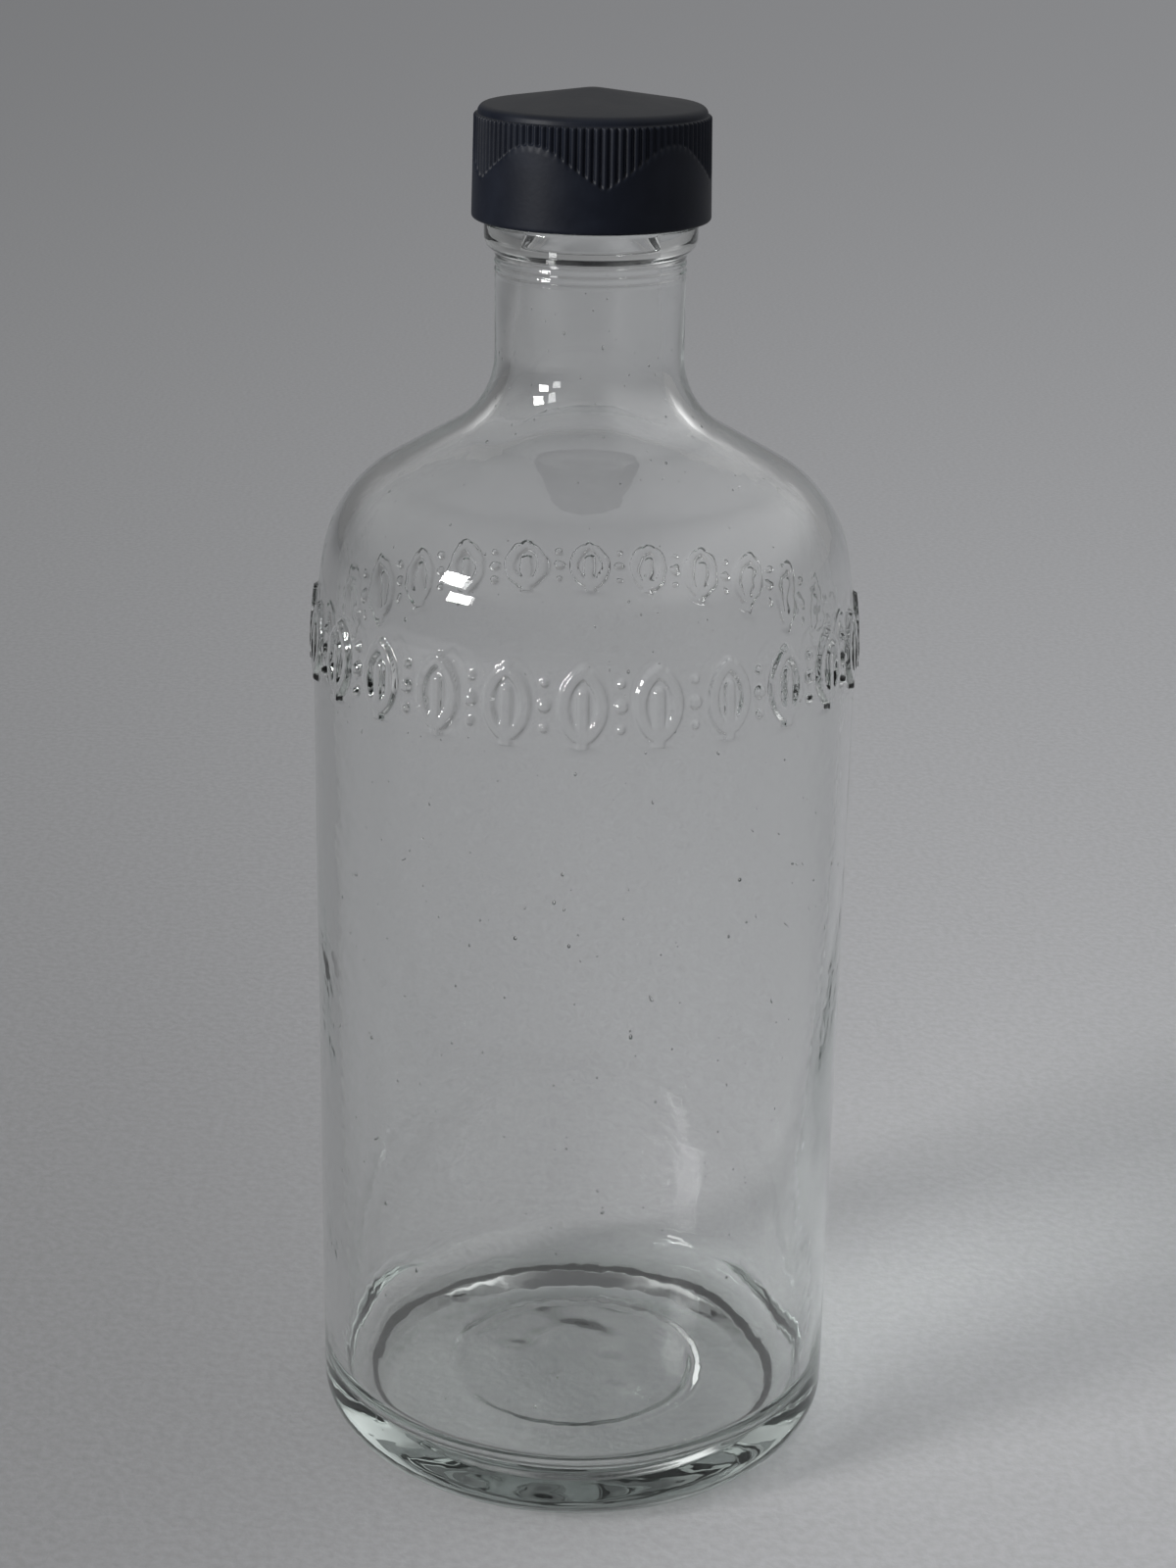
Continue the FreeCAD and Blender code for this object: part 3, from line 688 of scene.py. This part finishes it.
class Tree:
    """The node tree of a material or world, with short ways to add and link nodes."""

    def __init__(self, owner):
        owner.use_nodes = True
        self.nodes = owner.node_tree.nodes
        self.links = owner.node_tree.links

    def add(self, kind, **values):
        """A node with its input sockets set by name, spaces written as underscores."""
        node = self.nodes.new(kind)
        for name, value in values.items():
            node.inputs[name.replace("_", " ")].default_value = value
        return node

    def link(self, source, target):
        """Joins an output socket to an input socket."""
        self.links.new(source, target)

    def mix(self, **values):
        """A blend of two colours by a factor."""
        return self.add("ShaderNodeMixRGB", **values)

    def ramp(self, low, high):
        """A colour ramp between two (position, colour) stops."""
        node = self.nodes.new("ShaderNodeValToRGB")
        node.color_ramp.interpolation = "EASE"
        for element, (position, colour) in zip(node.color_ramp.elements, (low, high)):
            element.position = position
            element.color = (*colour, 1)
        return node

    def cloud(self, place, **values):
        """A noise texture over the object's own coordinates."""
        texture = self.add("ShaderNodeTexNoise", **values)
        self.link(place.outputs["Object"], texture.inputs["Vector"])
        return texture

    def bump(self, texture, shader, **values):
        """Lets a texture raise the shader's surface."""
        bump = self.add("ShaderNodeBump", **values)
        self.link(texture.outputs["Fac"], bump.inputs["Height"])
        self.link(bump.outputs["Normal"], shader.inputs["Normal"])


def add_lamp_shadow(tree, shader):
    """A lamp's ray passes glass that it meets squarely, and is lost where it grazes it."""
    facing = tree.add("ShaderNodeLayerWeight", Blend=0.35)
    shade = tree.ramp((0.35, SHADOW_SQUARE), (1.0, SHADOW_GRAZING))
    clear = tree.add("ShaderNodeBsdfTransparent")
    path = tree.add("ShaderNodeLightPath")
    mix = tree.add("ShaderNodeMixShader")
    tree.link(facing.outputs["Facing"], shade.inputs["Fac"])
    tree.link(shade.outputs["Color"], clear.inputs["Color"])
    tree.link(path.outputs["Is Shadow Ray"], mix.inputs["Fac"])
    tree.link(shader.outputs["BSDF"], mix.inputs[1])
    tree.link(clear.outputs["BSDF"], mix.inputs[2])
    tree.link(mix.outputs["Shader"], tree.nodes["Material Output"].inputs["Surface"])


def glass_material():
    """Old soda-lime glass: clear, grey-green in depth, and letting lamplight through."""
    material = bpy.data.materials.new("old_clear_glass")
    tree = Tree(material)
    shader = tree.nodes["Principled BSDF"]
    shader.inputs["Base Color"].default_value = (1, 1, 1, 1)
    shader.inputs["Transmission Weight"].default_value = 1
    shader.inputs["IOR"].default_value = GLASS_IOR
    shader.inputs["Roughness"].default_value = 0
    place = tree.add("ShaderNodeTexCoord")
    skin = tree.cloud(place, Scale=170, Detail=2)
    tree.bump(skin, shader, Strength=0.12, Distance=0.0004)
    add_lamp_shadow(tree, shader)
    depth = tree.add("ShaderNodeVolumeAbsorption", Color=GLASS_DEPTH, Density=50)
    tree.link(depth.outputs["Volume"], tree.nodes["Material Output"].inputs["Volume"])
    return material


def add_dust(tree, tone, shader):
    """Grey dust over the colour of faces that look up."""
    surface = tree.add("ShaderNodeNewGeometry")
    split = tree.add("ShaderNodeSeparateXYZ")
    upward = tree.add("ShaderNodeMapRange", From_Min=0.55, From_Max=1.0, To_Max=0.55)
    dust = tree.mix(Color2=DUST)
    tree.link(surface.outputs["Normal"], split.inputs["Vector"])
    tree.link(split.outputs["Z"], upward.inputs["Value"])
    tree.link(upward.outputs["Result"], dust.inputs["Fac"])
    tree.link(tone.outputs["Color"], dust.inputs["Color1"])
    tree.link(dust.outputs["Color"], shader.inputs["Base Color"])


def cap_material():
    """Moulded blue-black cap plastic: cloudy tone and gloss, dust on top, and a fine grain."""
    material = bpy.data.materials.new("cap_plastic")
    tree = Tree(material)
    shader = tree.nodes["Principled BSDF"]
    shader.inputs["Specular IOR Level"].default_value = 0.16
    place = tree.add("ShaderNodeTexCoord")
    cloud = tree.cloud(place, Scale=190, Detail=8)
    tone = tree.ramp((0.35, CAP_DEEP), (0.75, CAP_CLOUD))
    gloss = tree.add("ShaderNodeMapRange", To_Min=0.38, To_Max=0.55)
    tree.link(cloud.outputs["Fac"], tone.inputs["Fac"])
    tree.link(cloud.outputs["Fac"], gloss.inputs["Value"])
    tree.link(gloss.outputs["Result"], shader.inputs["Roughness"])
    add_dust(tree, tone, shader)
    grain = tree.cloud(place, Scale=1500, Detail=3)
    tree.bump(grain, shader, Strength=0.15, Distance=0.0001)
    return material


def painted_side_shade(tree, place):
    """Painted shade on the floor by direction from the bottle: deeper to its left, soft close to
    it.
    """
    lift = tree.add("ShaderNodeVectorMath")
    lift.inputs[1].default_value = (0, 0, PAINTED_SHADE_REACH)
    away = tree.add("ShaderNodeVectorMath")
    away.operation = "NORMALIZE"
    split = tree.add("ShaderNodeSeparateXYZ")
    side = tree.add("ShaderNodeMapRange", From_Min=PAINTED_SHADE_LEFT, From_Max=PAINTED_SHADE_RIGHT)
    # painted shade: the floor's tone deepens from pale to the left
    tone = tree.ramp((0.0, FLOOR_PAINTED_SHADE), (1.0, FLOOR_PALE))
    tree.link(place.outputs["Object"], lift.inputs[0])
    tree.link(lift.outputs["Vector"], away.inputs[0])
    tree.link(away.outputs["Vector"], split.inputs["Vector"])
    tree.link(split.outputs["X"], side.inputs["Value"])
    tree.link(side.outputs["Result"], tone.inputs["Fac"])
    return tone


def floor_material():
    """Matt pale card with a fine grain, and painted shade that deepens its tone to the left of the
    bottle.
    """
    material = bpy.data.materials.new("pale_floor")
    tree = Tree(material)
    shader = tree.nodes["Principled BSDF"]
    shader.inputs["Roughness"].default_value = 0.9
    place = tree.add("ShaderNodeTexCoord")
    grain = tree.cloud(place, Scale=700, Detail=4)
    speckle = tree.ramp((0.3, GRAIN_DEEP), (0.7, GRAIN_PALE))
    blend = tree.mix(Fac=1)
    blend.blend_type = "MULTIPLY"
    tree.link(grain.outputs["Fac"], speckle.inputs["Fac"])
    # the floor's colour is its painted shade times its grain
    tree.link(painted_side_shade(tree, place).outputs["Color"], blend.inputs["Color1"])
    tree.link(speckle.outputs["Color"], blend.inputs["Color2"])
    tree.link(blend.outputs["Color"], shader.inputs["Base Color"])
    tree.bump(grain, shader, Strength=0.3, Distance=0.0004)
    return material


# ------------------------------------------------------------------ studio


def make_floor():
    """A round level floor whose upper side the camera sees."""
    lathe = Lathe()
    for radius in FLOOR_RADII:
        lathe.plain(radius, 0, FLOOR_AROUND)
    lathe.close(0, 0, 0)
    lathe.piece("floor", floor_material())


def make_lamp(name, direction, width, height, power):
    """A soft oblong lamp that faces the object; direction is (turn from the front, rise)."""
    turn, rise = (math.radians(angle) for angle in direction)
    level = Vector((math.sin(turn), -math.cos(turn), 0))
    away = level * math.cos(rise) + Vector((0, 0, math.sin(rise)))
    data = bpy.data.lights.new(name, "AREA")
    data.shape = "RECTANGLE"
    data.size = width
    data.size_y = height
    data.energy = power
    lamp = bpy.data.objects.new(name, data)
    lamp.location = (CAD_BOX[0] + CAD_BOX[1]) / 2 + away * LAMP_DISTANCE
    lamp.rotation_euler = away.to_track_quat("Z", "Y").to_euler()
    bpy.context.scene.collection.objects.link(lamp)


def make_lamps():
    """The two panes of a window, to the left of the camera."""
    make_lamp("upper_pane", (-61, 26), 0.29, 0.22, 12)
    make_lamp("lower_pane", (-54, 13), 0.27, 0.17, 8)


def add_daylight(tree, split):
    """Soft light on the object, stronger from above and from the right."""
    light = tree.nodes["Background"]
    sky = tree.ramp((0.0, SKY_LOW), (1.0, SKY_HIGH))
    side = tree.add("ShaderNodeMapRange", From_Min=-1, From_Max=1, To_Min=0.35, To_Max=1.55)
    tree.link(split.outputs["Z"], sky.inputs["Fac"])
    tree.link(split.outputs["X"], side.inputs["Value"])
    tree.link(sky.outputs["Color"], light.inputs["Color"])
    tree.link(side.outputs["Result"], light.inputs["Strength"])
    return light


def add_backdrop(tree, split):
    """Beyond the floor: grey low down, higher up dark behind and pale beside, with painted shade to
    the left.
    """
    behind = tree.ramp((0.3, PALE_GREY), (0.65, DARK_GREY))
    beside = tree.ramp((0.1, PALE_GREY), (0.45, WHITE))
    across = tree.add("ShaderNodeMath")
    across.operation = "ABSOLUTE"
    sideways = tree.add("ShaderNodeMapRange", From_Min=0.2, From_Max=0.6)
    colour = tree.mix()
    # painted shade: the backdrop grows dimmer to the left, as the floor does
    shade = tree.add("ShaderNodeMapRange", From_Min=PAINTED_SHADE_LEFT, From_Max=PAINTED_SHADE_RIGHT)
    shade.inputs["To Min"].default_value = 0.65
    shade.inputs["To Max"].default_value = 1.25
    backdrop = tree.add("ShaderNodeBackground")
    tree.link(split.outputs["Z"], behind.inputs["Fac"])
    tree.link(split.outputs["Z"], beside.inputs["Fac"])
    tree.link(split.outputs["X"], across.inputs[0])
    tree.link(across.outputs["Value"], sideways.inputs["Value"])
    tree.link(sideways.outputs["Result"], colour.inputs["Fac"])
    tree.link(behind.outputs["Color"], colour.inputs["Color1"])
    tree.link(beside.outputs["Color"], colour.inputs["Color2"])
    tree.link(split.outputs["X"], shade.inputs["Value"])
    tree.link(colour.outputs["Color"], backdrop.inputs["Color"])
    tree.link(shade.outputs["Result"], backdrop.inputs["Strength"])
    return backdrop


def make_world():
    """Daylight for the object, and a backdrop that the camera sees past it and through it."""
    world = bpy.data.worlds.new("studio")
    bpy.context.scene.world = world
    tree = Tree(world)
    place = tree.add("ShaderNodeTexCoord")
    split = tree.add("ShaderNodeSeparateXYZ")
    path = tree.add("ShaderNodeLightPath")
    seen = tree.add("ShaderNodeMath")
    seen.operation = "MAXIMUM"
    mix = tree.add("ShaderNodeMixShader")
    tree.link(place.outputs["Generated"], split.inputs["Vector"])
    tree.link(path.outputs["Is Camera Ray"], seen.inputs[0])
    tree.link(path.outputs["Is Transmission Ray"], seen.inputs[1])
    tree.link(seen.outputs["Value"], mix.inputs["Fac"])
    tree.link(add_daylight(tree, split).outputs["Background"], mix.inputs[1])
    tree.link(add_backdrop(tree, split).outputs["Background"], mix.inputs[2])
    tree.link(mix.outputs["Shader"], tree.nodes["World Output"].inputs["Surface"])


def make_camera():
    """A long lens that looks down on the bottle, a little turned on its own axis."""
    tilt, roll = math.radians(CAMERA_TILT), math.radians(CAMERA_ROLL)
    aim = (CAD_BOX[0] + CAD_BOX[1]) / 2 + CAMERA_AIM
    ahead = Vector((0, math.cos(tilt), -math.sin(tilt)))
    right = Matrix.Rotation(-roll, 3, ahead) @ Vector((1, 0, 0))
    up = right.cross(ahead)
    data = bpy.data.cameras.new("camera")
    data.lens = CAMERA_LENS
    data.sensor_width = CAMERA_SENSOR
    data.clip_start = CAMERA_NEAR
    camera = bpy.data.objects.new("camera", data)
    axes = Matrix((right, up, -ahead)).transposed().to_4x4()
    camera.matrix_world = Matrix.Translation(aim - ahead * CAMERA_DISTANCE) @ axes
    bpy.context.scene.collection.objects.link(camera)
    bpy.context.scene.camera = camera


def deepen_light_paths():
    """Lets light that is caught in the thick base find its way out, as it does in real glass."""
    paths = bpy.context.scene.cycles
    paths.max_bounces = LIGHT_BOUNCES
    paths.glossy_bounces = LIGHT_BOUNCES
    paths.transmission_bounces = LIGHT_BOUNCES
    paths.transparent_max_bounces = LIGHT_BOUNCES


make_glass()
make_cap()
make_floor()
make_lamps()
make_world()
make_camera()
bpy.context.scene.view_settings.view_transform = "Standard"
deepen_light_paths()
